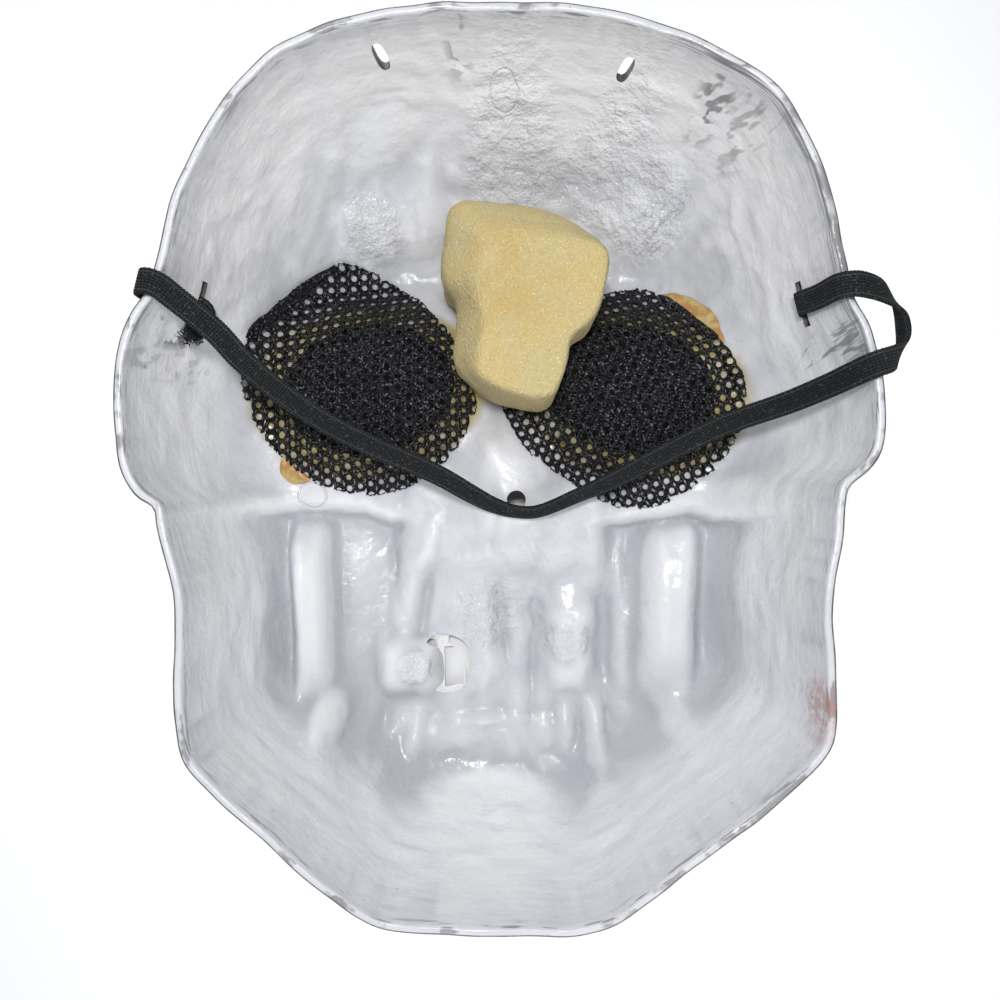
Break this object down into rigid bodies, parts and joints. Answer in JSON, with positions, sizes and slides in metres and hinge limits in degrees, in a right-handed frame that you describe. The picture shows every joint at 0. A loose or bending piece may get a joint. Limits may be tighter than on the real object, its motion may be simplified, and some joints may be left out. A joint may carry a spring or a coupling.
{
  "type": "skull mask",
  "caption": "Hard plastic skull face mask lying face down, with mesh over the eye holes, a foam brow pad and a flat elastic head strap.",
  "frame": {"origin": "the middle of the rim's width and height, on the surface that the mask lies on", "axes": "+X across the face from the wearer's left to the right, +Y from chin to crown, +Z out of the hollow back"},
  "size_m": [0.2091, 0.2457, 0.0822],
  "materials": {
    "white_plastic": "semi-gloss moulded plastic, a little scuffed and smudged",
    "black_mesh": "knitted mesh",
    "old_glue": "dried yellowed glue",
    "cream_foam": "open-cell foam, a little browned",
    "black_elastic": "flat braided elastic"
  },
  "bodies": {
    "root": {"mask_shell": "white_plastic", "eye_mesh_left": "black_mesh", "eye_mesh_right": "black_mesh", "glue_left": "old_glue", "glue_right": "old_glue", "brow_foam": "cream_foam", "elastic_strap": "black_elastic", "strap_knot": "black_elastic"}
  },
  "joints": []
}
